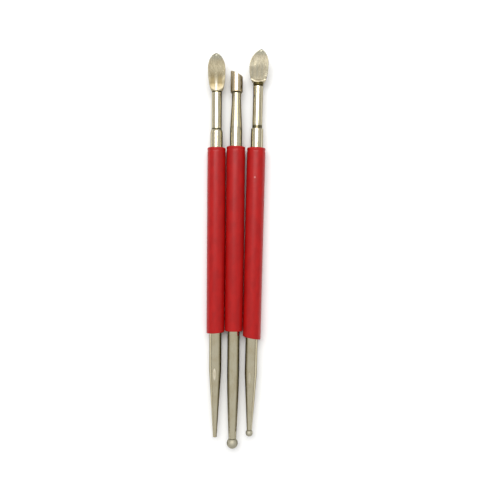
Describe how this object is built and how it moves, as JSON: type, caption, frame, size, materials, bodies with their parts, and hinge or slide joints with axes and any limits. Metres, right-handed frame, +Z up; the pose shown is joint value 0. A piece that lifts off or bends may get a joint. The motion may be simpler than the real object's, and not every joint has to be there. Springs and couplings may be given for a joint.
{
  "type": "double-ended sculpting spatula set",
  "caption": "Steel sculpting spatulas with sleeved round grips: leaf bowls and a slanted head on one end, a blunt point or ball tips on the other.",
  "frame": {"origin": "on the surface that the tools lie on, below the middle of the set's box", "axes": "+Y towards the bowls and the slanted head, +X to the right seen from above, +Z up from the surface"},
  "size_m": [0.0284, 0.1808, 0.0082],
  "materials": {
    "plated_steel": "warm nickel plating, fine turning marks, satin to bright",
    "grip_pvc": "satin soft PVC tube",
    "braze": "dark oxidised braze metal"
  },
  "bodies": {
    "middle_tool": {"middle_grip_sleeve": "grip_pvc", "middle_core_tube": "plated_steel", "middle_neck_rod": "plated_steel", "middle_head_braze": "braze", "middle_slant_head": "plated_steel", "middle_tapered_tip": "plated_steel", "middle_ball": "plated_steel", "middle_ball_braze": "braze"},
    "left_tool": {"left_grip_sleeve": "grip_pvc", "left_core_tube": "plated_steel", "left_neck_rod": "plated_steel", "left_head_braze": "braze", "left_leaf_bowl": "plated_steel", "left_tapered_tip": "plated_steel"},
    "right_tool": {"right_grip_sleeve": "grip_pvc", "right_core_tube": "plated_steel", "right_neck_rod": "plated_steel", "right_head_braze": "braze", "right_leaf_bowl": "plated_steel", "right_tapered_tip": "plated_steel", "right_ball": "plated_steel", "right_ball_braze": "braze"}
  },
  "joints": [
    {"name": "left_lift", "type": "slide", "parent": "middle_tool", "child": "left_tool", "axis": [0, 0, 1], "range_m": [0, 0.1]},
    {"name": "right_lift", "type": "slide", "parent": "middle_tool", "child": "right_tool", "axis": [0, 0, 1], "range_m": [0, 0.1]}
  ]
}
